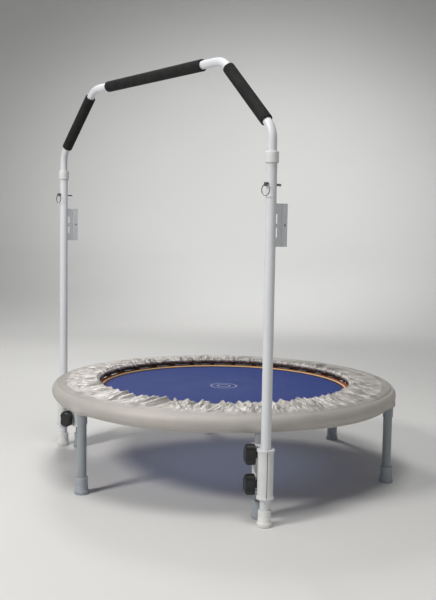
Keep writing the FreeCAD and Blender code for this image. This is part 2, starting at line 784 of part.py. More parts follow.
def make_clamp_half(side, half):
    """Half of a figure-eight clamp round a leg and a post."""
    name = f"clamp_{half}_{side}"
    bottom, height = "size.clamp_bottom", "size.clamp_height"
    lip_height = "size.clamp_lip_height"
    solids, bores = [], []
    for k, x in enumerate(("-size.post_gap / 2", "size.post_gap / 2")):
        solids.append(cylinder(f"{name}_sleeve_{k}", "size.clamp_sleeve", height, x, z=bottom))
        for end, z in (("low", bottom), ("high", f"{bottom} + {height} - {lip_height}")):
            lip = cylinder(f"{name}_lip_{end}_{k}", "size.clamp_lip", lip_height, x, z=z)
            solids.append(lip)
        bores.append(cylinder(f"{name}_bore_{k}", "size.clamp_bore", height, x, z=bottom))
    web = "size.clamp_web"
    solids.append(
        block(
            f"{name}_web",
            ("size.post_gap", web, height),
            ("-size.post_gap / 2", centred(web), bottom),
        )
    )
    whole = cut(f"{name}_bored", fuse(f"{name}_solid", solids), bores)
    depth, gap = "size.clamp_lip", "size.clamp_split / 2"
    half_space = block(
        f"{name}_half",
        ("size.post_gap + 2 * size.clamp_lip", depth, height),
        (
            "-size.post_gap / 2 - size.clamp_lip",
            f"-{gap} - {depth}" if half == "front" else gap,
            bottom,
        ),
    )
    holes = [
        along_y(f"{name}_bolt_{k}", "size.bolt_hole", f"-{depth}", depth, level)
        for k, level in BOLT_LEVELS.items()
    ]
    keep(name, at_clamp(cut(name, common(f"{name}_part", whole, half_space), holes), side))


def make_clamp_bolts(side):
    """Two round-headed bolts, their heads behind the clamp."""
    name = f"clamp_bolts_{side}"
    back = "size.clamp_web / 2"
    bolts = []
    for k, level in BOLT_LEVELS.items():
        shank = along_y(f"{name}_shank_{k}", "size.bolt_diameter", "-size.bolt_reach", back, level)
        head = along_y(
            f"{name}_head_{k}", "size.bolt_head", back, f"{back} + size.bolt_head_height", level
        )
        bolts.append(fuse(f"{name}_{k}", [shank, head]))
    group = doc.addObject("Part::Compound", name)
    group.Links = bolts
    keep(name, at_clamp(group, side))


def make_knob(side, level):
    """A wing knob: a domed disc narrowed to two upright wings with a waist, and a hub."""
    name = f"clamp_knob_{level}_{side}"
    rim, hub = "size.knob_diameter / 2", "size.knob_hub / 2"
    back, depth = "size.knob_back", "size.knob_depth"
    edge, dome, excess = "size.knob_edge", "size.knob_dome", "size.waist_excess"
    width, bore_end = "size.knob_width", "size.bolt_reach + size.knob_play"
    body = new_body(f"{name}_body")
    sketch = new_sketch(body, "XZ_Plane")
    corners = [
        ("size.knob_bore / 2", "size.knob_hub_start"),
        (hub, "size.knob_hub_start"),
        (hub, back),
        (f"{rim} - {edge}", back),
        (rim, f"{back} + {edge}", edge, "left"),
        (rim, f"{back} + {depth} - {dome}"),
        (f"{rim} - {dome}", f"{back} + {depth}", dome, "left"),
        ("0", f"{back} + {depth}"),
        ("0", bore_end),
        ("size.knob_bore / 2", bore_end),
    ]
    draw_path(sketch, corners)
    revolve(body, sketch)
    length = f"{back} + {depth} + 2 * {excess}"
    outline = [block(f"{name}_middle", (width, f"2 * {rim} - {width}", length), (
        centred(width), f"-({rim} - {width} / 2)", "0"))]
    for k, way in enumerate((-1, 1)):
        end = f"{way} * ({rim} - {width} / 2)"
        outline.append(cylinder(f"{name}_end_{k}", width, length, y=end))
    wings = common(f"{name}_wings", body, fuse(f"{name}_outline", outline))
    waist = [
        cylinder(
            f"{name}_waist_{k}",
            "2 * size.waist_radius",
            length,
            x=f"{way} * ({width} / 2 + size.waist_radius - size.waist_depth)",
            z=f"{back} - {excess}",
        )
        for k, way in enumerate((-1, 1))
    ]
    knob = cut(name, wings, waist)
    sign = SIDES[side]
    turn = FreeCAD.Rotation(FreeCAD.Vector(0, 0, 1), -sign * POST_ANGLE).multiply(
        FreeCAD.Rotation(FreeCAD.Vector(1, 0, 0), 90)
    )
    knob.Placement = FreeCAD.Placement(FreeCAD.Vector(), turn)
    knob.setExpression("Placement.Base.x", f"{sign} * {CLAMP_X}")
    knob.setExpression("Placement.Base.y", CLAMP_Y)
    knob.setExpression("Placement.Base.z", BOLT_LEVELS[level])
    keep(name, knob)


# ---------------------------------------------------------------- the whole object

make_frame_ring()
for label, angle in LEG_ANGLES.items():
    make_leg_socket(label, angle)
    make_leg(label, angle)
    make_foot(f"leg_foot_{label}", "leg", "size.ring_radius", angle)
make_mat()
make_mat_links()
make_spring_anchors()
make_springs()
make_cover()
for side, sign in SIDES.items():
    make_post(side)
    make_foot(f"post_foot_{side}", "post", POST_RADIUS, -90 + sign * (90 - POST_ANGLE))
    make_collar(side)
    make_accessory_holder(side)
    for half in ("front", "back"):
        make_clamp_half(side, half)
    make_clamp_bolts(side)
    for level in BOLT_LEVELS:
        make_knob(side, level)
    make_lock_pin(side)
make_arch()
make_grips()
doc.recompute()

# ---------------------------------------------------------------- checks and files

failed = [o.Name for o in doc.Objects if {"Invalid", "Error"} & set(o.State)]
for name, piece in nodes.items():
    shape = piece.Shape
    if shape.isNull() or not shape.isValid() or not shape.Solids:
        failed.append(name)
if failed:
    raise SystemExit(f"these objects failed: {sorted(set(failed))}")
for name, piece in nodes.items():
    piece.Shape.exportStep(f"parts/{name}.step")
    box = piece.Shape.BoundBox
    solids, volume = len(piece.Shape.Solids), piece.Shape.Volume
    print(f"{name}: {solids} solids, {volume:.0f} mm3, z {box.ZMin:.1f} to {box.ZMax:.1f}")
print(len(nodes), "nodes written")
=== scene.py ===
import math

import bpy
import numpy as np
from mathutils import Matrix, Vector


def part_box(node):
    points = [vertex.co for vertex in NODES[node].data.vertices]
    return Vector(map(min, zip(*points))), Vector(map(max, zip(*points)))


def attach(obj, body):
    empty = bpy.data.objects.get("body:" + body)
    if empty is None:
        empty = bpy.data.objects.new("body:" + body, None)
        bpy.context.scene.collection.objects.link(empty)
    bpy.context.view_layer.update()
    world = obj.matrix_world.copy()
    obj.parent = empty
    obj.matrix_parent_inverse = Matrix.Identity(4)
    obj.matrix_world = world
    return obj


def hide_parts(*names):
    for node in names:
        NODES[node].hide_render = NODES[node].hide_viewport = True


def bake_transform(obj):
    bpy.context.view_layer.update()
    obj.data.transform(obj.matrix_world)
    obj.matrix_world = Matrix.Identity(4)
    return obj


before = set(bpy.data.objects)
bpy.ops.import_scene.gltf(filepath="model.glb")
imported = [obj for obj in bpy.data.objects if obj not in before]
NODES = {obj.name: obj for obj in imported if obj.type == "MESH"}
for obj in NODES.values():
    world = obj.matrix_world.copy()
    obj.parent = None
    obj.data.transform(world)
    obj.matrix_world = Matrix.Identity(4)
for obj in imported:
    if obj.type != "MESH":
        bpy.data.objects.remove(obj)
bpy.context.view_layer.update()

# Looks of the mini trampoline with its handlebar. Metres, +Z up, handlebar on the -Y side.
# Places and main sizes come from the CAD nodes, so they follow the frame when it is packed again.

SCENE = bpy.context.scene
TAU = 2 * math.pi
MM = 0.001


# ---------------------------------------------------------------- places in the frame


def node_points(name):
    return np.array([v.co for v in NODES[name].data.vertices])


def reach(name):
    """Least and greatest distance of a CAD node from the Z axis."""
    distance = np.hypot(*node_points(name).T[:2])
    return distance.min(), distance.max()


def middle(name):
    low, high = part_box(name)
    return (low + high) / 2


MAT_LOW, MAT_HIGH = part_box("jumping_mat")
MAT_RADIUS = reach("jumping_mat")[1]
BAND_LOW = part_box("mat_edge_band")[0].z
BAND_INNER, BAND_OUTER = reach("mat_edge_band")
COVER_INNER, COVER_OUTER = reach("edge_cover")
COVER_LOW, COVER_HIGH = (corner.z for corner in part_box("edge_cover"))
FOAM_INNER, FOAM_OUTER = reach("edge_foam")
FOAM_LOW, FOAM_HIGH = (corner.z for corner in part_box("edge_foam"))
# The gathers draw the inner hem up and outward on to the pad. A frill hangs below it.
HEM_CORD = (sum(reach("hem_elastic")) / 2 + 5 * MM, middle("hem_elastic").z + 3 * MM)
FRILL = 9 * MM
SPRING_HEIGHT = middle("springs").z
SPRING_COUNT = 36
LEG_COUNT = 6


# ---------------------------------------------------------------- mesh building


def new_piece(name, points, faces, material, body=None):
    """A smooth mesh piece from points in the row frame, riding on a CAD body."""
    mesh = bpy.data.meshes.new(name)
    mesh.from_pydata(np.asarray(points).tolist(), [], np.asarray(faces).tolist())
    mesh.materials.append(material)
    mesh.shade_smooth()
    piece = bpy.data.objects.new(name, mesh)
    SCENE.collection.objects.link(piece)
    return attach(piece, body) if body else piece


def grid_faces(rows, columns, close_columns=True, close_rows=False):
    """Quads of a grid whose points run along the columns first."""
    i = np.arange(rows if close_rows else rows - 1)
    j = np.arange(columns if close_columns else columns - 1)
    i, j = np.meshgrid(i, j, indexing="ij")
    down, right = (i + 1) % rows, (j + 1) % columns
    corners = (i * columns + j, i * columns + right, down * columns + right, down * columns + j)
    return np.stack(corners, axis=-1).reshape(-1, 4)


def turned(profile, steps, wave=None):
    """Points of a profile (radius, height) turned round Z, moved out by wave(angle)."""
    angle = np.linspace(0, TAU, steps, endpoint=False)
    radius, height = np.array(profile).T
    radius = radius[:, None] + (wave(angle)[None, :] if wave else 0 * angle[None, :])
    height = height[:, None] + 0 * angle[None, :]
    return np.stack([radius * np.cos(angle), radius * np.sin(angle), height], -1).reshape(-1, 3)


def arc(centre, radius, start, end, steps):
    """Points (x, z) on an arc, the angles in degrees."""
    angle = np.radians(np.linspace(start, end, steps))
    return [(centre[0] + radius * math.cos(a), centre[1] + radius * math.sin(a)) for a in angle]


def tube_points(path, radius, sides, closed=False):
    """Rings of points round a path, turning as little as they can along it."""
    path = np.asarray(path, float)
    ahead = np.roll(path, -1, axis=0) - path if closed else np.gradient(path, axis=0)
    behind = path - np.roll(path, 1, axis=0) if closed else ahead
    way = ahead + behind
    way /= np.linalg.norm(way, axis=1)[:, None]
    across = np.cross(way[0], (0.0, 0.0, 1.0))
    if np.linalg.norm(across) < 0.1:
        across = np.cross(way[0], (1.0, 0.0, 0.0))
    rings = []
    turn = np.linspace(0, TAU, sides, endpoint=False)
    radius = np.broadcast_to(radius, len(path))
    for point, forward, size in zip(path, way, radius):
        across = across - forward * (across @ forward)
        across /= np.linalg.norm(across)
        up = np.cross(forward, across)
        ring = np.cos(turn)[:, None] * across + np.sin(turn)[:, None] * up
        rings.append(point + size * ring)
    return np.concatenate(rings)


def tube_piece(name, path, radius, sides, material, body=None, closed=False):
    """A round wire or cord along a path, with tapered ends if it is open."""
    if not closed:
        radius = np.full(len(path), float(radius))
        radius[[0, -1]] *= 0.35
    points = tube_points(path, radius, sides, closed)
    faces = grid_faces(len(path), sides, True, closed)
    return new_piece(name, points, faces, material, body)


def round_z(points, angle):
    """Points turned about the Z axis."""
    c, s = math.cos(angle), math.sin(angle)
    return np.asarray(points) @ np.array([[c, s, 0], [-s, c, 0], [0, 0, 1]])


def stitches(name, seam, normals, pitch, width, material, body, lift=0.3):
    """Small threads lying end to end along a closed seam, each dipping in at its ends."""
    seam = np.asarray(seam, float)
    loop = np.vstack([seam, seam[:1]])
    along = np.concatenate([[0], np.cumsum(np.linalg.norm(np.diff(loop, axis=0), axis=1))])
    count = int(along[-1] / pitch)
    normals = np.vstack([normals, normals[:1]])
    sides, rings = 5, np.array([-0.42, -0.25, 0.25, 0.42])
    dip = np.array([-0.6, lift, lift, -0.6]) * width
    size = np.array([0.35, 1, 1, 0.35]) * width / 2
    start = (np.arange(count) + 0.5) / count * along[-1]
    at = (start[:, None] + rings * pitch) % along[-1]
    place = np.stack([np.interp(at, along, loop[:, k]) for k in range(3)], -1)
    normal = np.stack([np.interp(at, along, normals[:, k]) for k in range(3)], -1)
    normal /= np.linalg.norm(normal, axis=-1, keepdims=True)
    way = place[:, -1:] - place[:, :1]
    way = way / np.linalg.norm(way, axis=-1, keepdims=True)
    side = np.cross(way, normal)
    turn = np.linspace(0, TAU, sides, endpoint=False)
    ring = np.cos(turn)[:, None] * side[:, :, None] + np.sin(turn)[:, None] * normal[:, :, None]
    points = (place + normal * dip[:, None])[:, :, None] + ring * size[:, None, None]
    one = grid_faces(len(rings), sides)
    faces = (one[None] + (np.arange(count) * len(rings) * sides)[:, None, None]).reshape(-1, 4)
    return new_piece(name, points.reshape(-1, 3), faces, material, body)


# ---------------------------------------------------------------- materials


class Finish:
    """One procedural material, whose nodes are added by short calls."""

    def __init__(self, name, colour, roughness, **uniform):
        self.material = bpy.data.materials.new(name)
        self.material.use_nodes = True
        self.tree = self.material.node_tree
        self.shader = self.tree.nodes["Principled BSDF"]
        self.set(self.shader, {"Base Color": (*colour, 1), "Roughness": roughness})
        self.set(self.shader, {key.replace("_", " "): value for key, value in uniform.items()})
        self.place = self.node("TexCoord", {}, "Object")

    def set(self, node, inputs):
        for socket, value in inputs.items():
            if isinstance(value, bpy.types.NodeSocket):
                self.tree.links.new(value, node.inputs[socket])
            else:
                node.inputs[socket].default_value = value

    def node(self, kind, inputs, output=0, **settings):
        node = self.tree.nodes.new(f"ShaderNode{kind}")
        for key, value in settings.items():
            setattr(node, key, value)
        self.set(node, inputs)
        return node.outputs[output]

    def math(self, operation, a, b=0.0):
        return self.node("Math", {0: a, 1: b}, operation=operation)

    def stretched(self, scale, place=None):
        """The coordinates with each axis multiplied."""
        inputs = {0: place or self.place, 1: scale}
        return self.node("VectorMath", inputs, operation="MULTIPLY")

    def noise(self, scale, detail=2.0, place=None, output="Fac"):
        inputs = {"Vector": place or self.place, "Scale": scale, "Detail": detail}
        return self.node("TexNoise", inputs, output)

    def cells(self, scale, place=None):
        inputs = {"Vector": place or self.place, "Scale": scale}
        return self.node("TexVoronoi", inputs, "Distance")

    def spread(self, value, low, high, to_low=0.0, to_high=1.0):
        inputs = {0: value, 1: low, 2: high, 3: to_low, 4: to_high}
        return self.node("MapRange", inputs, clamp=True)

    def mix(self, share, a, b):
        """Two colours mixed. Node sockets 6, 7 and output 2 are the colour ones."""
        a, b = (c if isinstance(c, bpy.types.NodeSocket) else (*c, 1) for c in (a, b))
        return self.node("Mix", {0: share, 6: a, 7: b}, 2, data_type="RGBA")

    def part(self, axis, place=None):
        return self.node("SeparateXYZ", {0: place or self.place}, axis)

    def from_axis(self):
        """Distance from the Z axis and angle round it."""
        x, y = self.part("X"), self.part("Y")
        squares = self.math("ADD", self.math("MULTIPLY", x, x), self.math("MULTIPLY", y, y))
        return self.math("SQRT", squares), self.math("ARCTAN2", y, x)

    def colour(self, value):
        self.set(self.shader, {"Base Color": value})

    def rough(self, value):
        self.set(self.shader, {"Roughness": value})

    def relief(self, *layers):
        """Bumps from (height, depth in metres) pairs, each over the one before."""
        normal = None
        for height, depth in layers:
            inputs = {"Height": height, "Distance": depth, "Strength": 1.0}
            if normal:
                inputs["Normal"] = normal
            normal = self.node("Bump", inputs)
        self.set(self.shader, {"Normal": normal})

    def weave(self, pitch, place=None):
        """Height of a plain weave: threads along X and Y that pass over each other in turn."""
        u = self.math("MULTIPLY", self.part("X", place), math.pi / pitch)
        v = self.math("MULTIPLY", self.part("Y", place), math.pi / pitch)
        across, along = self.math("SINE", u), self.math("SINE", v)
        over = self.math("MULTIPLY", across, along)
        warp = self.math("MULTIPLY", self.math("COSINE", u), self.math("COSINE", u))
        weft = self.math("MULTIPLY", self.math("COSINE", v), self.math("COSINE", v))
        return self.math("ADD", self.math("MAXIMUM", warp, weft), self.math("MULTIPLY", over, 0.5))


def shade(colour, factor):
    return tuple(c * factor for c in colour)


def powder_coat(name, colour, roughness=0.38):
    """Baked powder paint: fine orange peel, slightly uneven gloss and faint grime low down."""
    f = Finish(name, colour, roughness, Coat_Weight=0.12, Coat_Roughness=0.25)
    uneven = f.noise(7, 3)
    scuffs = f.spread(f.noise(60, 6), 0.66, 0.74)
    near_floor = f.spread(f.part("Z"), 0.0, 0.16, 1.0, 0.0)
    grime = f.math("MULTIPLY", near_floor, f.spread(f.noise(28, 5), 0.35, 0.75))
    body = f.mix(f.spread(uneven, 0.3, 0.7), shade(colour, 0.95), colour)
    body = f.mix(f.math("MULTIPLY", scuffs, 0.12), body, shade(colour, 0.7))
    f.colour(f.mix(f.math("MULTIPLY", grime, 0.22), body, shade(colour, 0.55)))
    f.rough(f.spread(uneven, 0.25, 0.75, roughness - 0.06, roughness + 0.1))
    f.relief((f.noise(520, 2), 0.00012), (f.noise(1500, 2), 0.00003))
    return f.material


def moulded_plastic(name, colour, roughness, grain=900):
    """Moulded plastic: a fine spark-eroded grain, flow marks and slight wear."""
    f = Finish(name, colour, roughness)
    uneven = f.noise(11, 3)
    flow = f.noise(30, 2, f.stretched((1, 1, 0.15)))
    f.colour(f.mix(f.spread(uneven, 0.3, 0.7), shade(colour, 0.9), shade(colour, 1.04)))
    f.rough(f.spread(flow, 0.3, 0.7, roughness - 0.06, roughness + 0.08))
    f.relief((f.cells(grain), 0.00008), (f.noise(90, 3), 0.00005))
    return f.material


def rubber(name, colour):
    """Soft rubber: matt, with a fine skin, darker in patches on its lowest 12 mm."""
    f = Finish(name, colour, 0.72, Specular_IOR_Level=0.35)
    # Darker in patches on the lowest 12 mm.
    darker_low_down = f.math("MULTIPLY", f.spread(f.part("Z"), 0.0, 0.012, 1.0, 0.0), f.noise(150, 4))
    patches = f.mix(f.spread(f.noise(40, 4), 0.35, 0.7), shade(colour, 0.88), colour)
    f.colour(f.mix(f.math("MULTIPLY", darker_low_down, 0.7), patches, shade(colour, 0.45)))
    f.rough(f.spread(f.noise(70, 3), 0.3, 0.7, 0.62, 0.82))
    f.relief((f.noise(700, 3), 0.00015), (f.noise(120, 2), 0.0002))
    return f.material


def closed_cell_foam(name, colour, pore):
    """Foam whose cut skin shows small pores, painted darker as shade in their pits, with shallow
    dents.
    """
    f = Finish(name, colour, 0.8, Specular_IOR_Level=0.35)
    pores = f.cells(pore)
    # Painted shade: the colour darkens in the pores' pits.
    f.colour(f.mix(f.spread(pores, 0.05, 0.5), shade(colour, 0.6), shade(colour, 1.15)))
    f.rough(f.spread(f.noise(50, 3), 0.3, 0.7, 0.75, 0.95))
    f.relief((pores, 0.00035), (f.noise(pore * 0.35, 3), 0.0002), (f.noise(35, 2), 0.0006))
    return f.material


def zinc_plate(name, colour, roughness):
    """Zinc-plated wire and pins: brushed, with darker passivated patches."""
    f = Finish(name, colour, roughness, Metallic=1.0)
    patches = f.noise(90, 4)
    f.colour(f.mix(f.spread(patches, 0.35, 0.7), shade(colour, 0.72), colour))
    f.rough(f.spread(f.noise(300, 4), 0.3, 0.7, roughness - 0.08, roughness + 0.15))
    f.relief((f.noise(900, 3, f.stretched((1, 1, 4))), 0.00004))
    return f.material


def mat_weave(name, colour):
    """Tight polypropylene weave with slubs, a sewn edge and two plain printed rings."""
    f = Finish(name, colour, 0.68, Specular_IOR_Level=0.12)
    radius, _ = f.from_axis()
    warp = f.noise(900, 2, f.stretched((1, 0.02, 1)))
    weft = f.noise(900, 2, f.stretched((0.02, 1, 1)))
    threads = f.math("ADD", f.math("MULTIPLY", warp, 0.5), f.math("MULTIPLY", weft, 0.5))
    cloth = f.mix(f.spread(threads, 0.38, 0.62), shade(colour, 0.84), shade(colour, 1.16))
    worn = f.spread(radius, 0.0, 0.3, 0.2, 0.0)
    worn = f.math("MULTIPLY", worn, f.spread(f.noise(9, 5), 0.35, 0.7))
    cloth = f.mix(worn, cloth, (0.15, 0.18, 0.3))
    edge = f.spread(radius, MAT_RADIUS - 0.012, MAT_RADIUS - 0.009)
    cloth = f.mix(f.math("MULTIPLY", edge, 0.85), cloth, (0.035, 0.016, 0.075))
    off_outer, off_inner = (
        f.math("ABSOLUTE", f.math("SUBTRACT", radius, ring)) for ring in (0.039, 0.019)
    )
    ink = f.spread(f.math("MINIMUM", off_outer, off_inner), 0.0016, 0.0024, 1.0, 0.0)
    ink = f.math("MULTIPLY", ink, f.spread(f.noise(420, 3), 0.3, 0.5, 0.6, 1.0))
    f.colour(f.mix(f.math("MULTIPLY", ink, 0.7), cloth, (0.5, 0.53, 0.62)))
    f.rough(f.spread(threads, 0.35, 0.65, 0.6, 0.76))
    f.relief((f.weave(0.0016), 0.00018), (f.noise(16, 2), 0.0012))
    return f.material


def webbing(name, colour):
    """Flat woven webbing that runs round the mat: ribs along it and a herringbone across."""
    f = Finish(name, colour, 0.62, Sheen_Weight=0.3, Sheen_Roughness=0.4)
    radius, angle = f.from_axis()
    ribs = f.math("SINE", f.math("MULTIPLY", radius, TAU / 0.0018))
    slant = f.math("SINE", f.math("ADD", f.math("MULTIPLY", angle, 1400.0), ribs))
    f.colour(f.mix(f.spread(slant, -1, 1), shade(colour, 0.75), shade(colour, 1.12)))
    f.relief((ribs, 0.0002), (slant, 0.00012))
    return f.material


def piping_cloth(name, colour):
    """Fine cloth wrapped round a cord, with creases across it, their hollows painted darker as
    shade.
    """
    f = Finish(name, colour, 0.55, Sheen_Weight=0.3, Sheen_Roughness=0.4)
    _, angle = f.from_axis()
    creases = f.math("SINE", f.math("ADD", f.math("MULTIPLY", angle, 640.0), f.noise(60, 2)))
    # Painted shade: the colour darkens in the creases' hollows.
    f.colour(f.mix(f.spread(creases, -1, 1), shade(colour, 0.82), shade(colour, 1.06)))
    f.relief((creases, 0.0002), (f.noise(1300, 2), 0.0001))
    return f.material


def satin(name, colour):
    """Thin silvery satin: fine threads along and across the cloth, soft shine, slight marks. It
    is duller where it is taut. The valleys between its gathers are painted darker as shade,
    and the frill at its inner edge is painted dark brown as shade."""
    f = Finish(name, colour, 0.44, Metallic=0.3, Sheen_Weight=0.1, Sheen_Roughness=0.35)
    cloth = f.node("TexCoord", {}, "UV")
    threads = f.noise(2200, 2, f.stretched((1, 0.06, 1), cloth))
    rows = f.noise(2200, 2, f.stretched((0.06, 1, 1), cloth))
    marks = f.noise(14, 5)
    tone = f.mix(f.spread(marks, 0.3, 0.7), shade(colour, 0.93), shade(colour, 1.03))
    tone = f.mix(f.spread(threads, 0.35, 0.65, 0.0, 0.16), tone, shade(colour, 0.72))
    radius, angle = f.from_axis()
    slanted = f.math("ADD", f.math("MULTIPLY", angle, 0.45), f.math("MULTIPLY", radius, 0.3))
    polar = f.node("CombineXYZ", {0: slanted, 1: f.math("MULTIPLY", radius, 0.24)})
    creases = f.noise(30, 4, polar)
    small = f.math("MULTIPLY", f.noise(75, 3, polar), f.spread(radius, 0.41, 0.46, 1.0, 0.0))
    gathered = f.spread(radius, COVER_OUTER - 0.042, COVER_OUTER - 0.014, 1.0, 0.0)
    taut = f.spread(radius, COVER_OUTER - 0.06, COVER_OUTER - 0.02, 0.0, 0.24)
    f.rough(f.math("ADD", f.spread(rows, 0.3, 0.7, 0.38, 0.5), taut))
    # Painted shade: the valleys between the gathers are darkened in colour on the gathered top.
    valleys = f.math("MULTIPLY", f.spread(creases, 0.36, 0.5, 0.5, 0.0), gathered)
    tone = f.mix(valleys, tone, shade(colour, 0.42))
    # Painted shadow: the frill that hangs below the inner hem is coloured dark brown.
    painted_frill_shade = f.spread(f.part("Y", cloth), FRILL - MM, FRILL, 1.0, 0.0)
    f.colour(f.mix(painted_frill_shade, tone, (0.03, 0.015, 0.01)))
    creases = f.math("MULTIPLY", creases, gathered)
    f.relief((threads, 0.00005), (rows, 0.00005), (small, 0.008), (creases, 0.028))
    return f.material


def knitted_elastic(name, colour):
    """Covered elastic cord, with a knitted row round each turn."""
    f = Finish(name, colour, 0.7, Sheen_Weight=0.3)
    _, angle = f.from_axis()
    loops = f.math("SINE", f.math("MULTIPLY", angle, 2200.0))
    f.colour(f.mix(f.spread(loops, -1, 1), shade(colour, 0.8), colour))
    f.relief((loops, 0.0003), (f.noise(1500, 2), 0.0001))
    return f.material


def thread(name, colour):
    """Sewing thread with its twist."""
    f = Finish(name, colour, 0.55, Sheen_Weight=0.3)
    f.colour(f.mix(f.noise(2600, 2), shade(colour, 0.75), shade(colour, 1.1)))
    f.relief((f.noise(3800, 1), 0.00008))
    return f.material


FINISH = {
    "white_steel": powder_coat("white_powder_coat", (0.76, 0.775, 0.80)),
    "grey_frame_steel": powder_coat("grey_powder_coat", (0.31, 0.345, 0.37)),
    "white_plastic": moulded_plastic("white_moulding", (0.76, 0.77, 0.77), 0.36),
    "black_plastic": moulded_plastic("black_moulding", (0.016, 0.016, 0.017), 0.42, 700),
    "post_foot_rubber": rubber("cream_rubber", (0.90, 0.90, 0.87)),
    "leg_foot_rubber": rubber("grey_rubber", (0.40, 0.44, 0.48)),
    "grip_foam": closed_cell_foam("black_foam", (0.012, 0.012, 0.012), 1300),
    "zinc_steel": zinc_plate("zinc_plate", (0.33, 0.33, 0.32), 0.34),
    "mat_fabric": mat_weave("blue_weave", (0.030, 0.052, 0.212)),
    "band_webbing": webbing("red_webbing", (0.60, 0.10, 0.03)),
    "piping_fabric": piping_cloth("yellow_piping", (0.86, 0.60, 0.24)),
    "cover_fabric": satin("silver_satin", (0.54, 0.51, 0.478)),
    # The pad foam is coloured dark: painted shade where it shows under the cover's hem.
    "pad_foam": closed_cell_foam("pad_foam", (0.06, 0.055, 0.05), 420),
    "elastic_white": knitted_elastic("knitted_elastic", (0.66, 0.65, 0.62)),
}
SILVER_THREAD = thread("silver_thread", (0.55, 0.53, 0.50))
DARK_THREAD = thread("dark_thread", (0.03, 0.02, 0.07))
# A darker copy of the zinc plate for the springs, links and anchors: painted shade for the dark
# space under the cover.
SHADED_SPRING_WIRE = zinc_plate("shaded_spring_wire", (0.10, 0.09, 0.085), 0.45)


def dress_cad_nodes():
    """Gives every CAD node its finish, and rounds the edges of moulded and small metal parts."""
    edge = {"black_plastic": 1.2, "white_plastic": 0.7, "grip_foam": 2.2}
    edge.update({"post_foot_rubber": 0.5, "leg_foot_rubber": 0.5, "zinc_steel": 0.25})
    for name, node in NODES.items():
        slot = SLOTS[name]
        node.data.materials.clear()
        node.data.materials.append(SHADED_SPRING_WIRE if name in SPRING_METAL else FINISH[slot])
        if slot in edge and name not in SPRING_METAL:
            weld = node.modifiers.new("weld", "WELD")
            weld.merge_threshold = 1e-6
            bevel = node.modifiers.new("edges", "BEVEL")
            bevel.width = edge[slot] * MM
            bevel.segments = 3
            bevel.limit_method = "ANGLE"
            bevel.angle_limit = math.radians(35)
            normals = node.modifiers.new("normals", "WEIGHTED_NORMAL")
            normals.keep_sharp = False


# The record's material slot of each CAD node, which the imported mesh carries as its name.
SLOTS = {name: node.data.materials[0].name for name, node in NODES.items()}
# The spring parts in the shaded space under the cover take the darker zinc copy as painted shade.
SPRING_METAL = ("springs", "mat_links", "spring_anchors")


# ---------------------------------------------------------------- mat, band and piping


def make_mat():
    """The stretched mat: slightly drawn in between the spring links, with sewn edge rows."""
    steps = 8 * SPRING_COUNT
    edge = 0.0006
    rows = [(0.002, MAT_LOW.z)] + [(MAT_RADIUS * k / 12, MAT_LOW.z) for k in range(1, 12)]
    rows += [(MAT_RADIUS - edge, MAT_LOW.z), (MAT_RADIUS, MAT_LOW.z + edge)]
    rows += [(MAT_RADIUS, MAT_HIGH.z - edge), (MAT_RADIUS - edge, MAT_HIGH.z)]
    for inset in (0.006, 0.0075, 0.009, 0.011, 0.013, 0.02, 0.03, 0.05):
        drop = 0.0004 if inset in (0.0075, 0.013) else 0.0
        rows.append((MAT_RADIUS - inset, MAT_HIGH.z - drop))
    rows += [(MAT_RADIUS * k / 16, MAT_HIGH.z) for k in range(13, 0, -1)] + [(0.002, MAT_HIGH.z)]
    points = turned(rows, steps)
    radius = np.hypot(points[:, 0], points[:, 1])
    angle = np.arctan2(points[:, 1], points[:, 0])
    near_edge = np.clip((radius - 0.8 * MAT_RADIUS) / (0.2 * MAT_RADIUS), 0, 1) ** 2
    pull = np.cos(SPRING_COUNT * angle + math.pi)
    points[:, 2] += 0.00035 * near_edge * pull - 0.0003 * (1 - (radius / MAT_RADIUS) ** 2)
    points[:, :2] *= (1 + 0.0012 * near_edge * pull)[:, None]
    mat = new_piece(
        "mat_cloth", points, grid_faces(len(rows), steps), FINISH["mat_fabric"], "bed"
    )
    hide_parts("jumping_mat")


def make_band():
    """Webbing sewn under the mat's edge, with a soft selvedge and dark lock stitches."""

    def wave(angle):
        return 0.0005 * np.cos(SPRING_COUNT * angle + math.pi)

    def cup(radius):
        """The springs pull the webbing's outer edge up a little."""
        flat, cupped = 5 * MM, 14 * MM
        return 5 * MM * max(0, (radius - MAT_RADIUS - flat) / cupped) ** 1.5

    top, low = MAT_LOW.z, BAND_LOW
    half = (top - low) / 2
    profile = [(radius, low) for radius in np.linspace(BAND_INNER, BAND_OUTER - half, 9)]
    profile += arc((BAND_OUTER - half, low + half), half, -90, 90, 6)[1:]
    profile += [(BAND_OUTER - 0.004, top - 0.0002), (BAND_OUTER - 0.007, top)]
    profile += [(MAT_RADIUS + 0.008, top), (MAT_RADIUS + 0.005, top - 0.0001)]
    profile += [(MAT_RADIUS + 0.002, top - 0.0002), (BAND_INNER, top - 0.0002)]
    profile = [(radius, height + cup(radius)) for radius, height in profile]
    steps = 8 * SPRING_COUNT
    faces = grid_faces(len(profile), steps, True, True)
    material = FINISH["band_webbing"]
    band = new_piece("mat_webbing", turned(profile, steps, wave), faces, material, "bed")
    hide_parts("mat_edge_band")
    up = np.tile((0.0, 0.0, 1.0), (steps, 1))
    outer = BAND_OUTER - 0.0055
    for label, radius, height in (
        ("outer", outer, top + cup(outer)),
        ("inner", MAT_RADIUS - 0.0075, MAT_HIGH.z - 0.0004),
        ("second", MAT_RADIUS - 0.013, MAT_HIGH.z - 0.0004),
    ):
        seam = turned([(radius, height)], steps, wave if label == "outer" else None)
        stitches(
            f"mat_stitches_{label}", seam, up, 0.004, 0.0008, DARK_THREAD, "bed"
        )


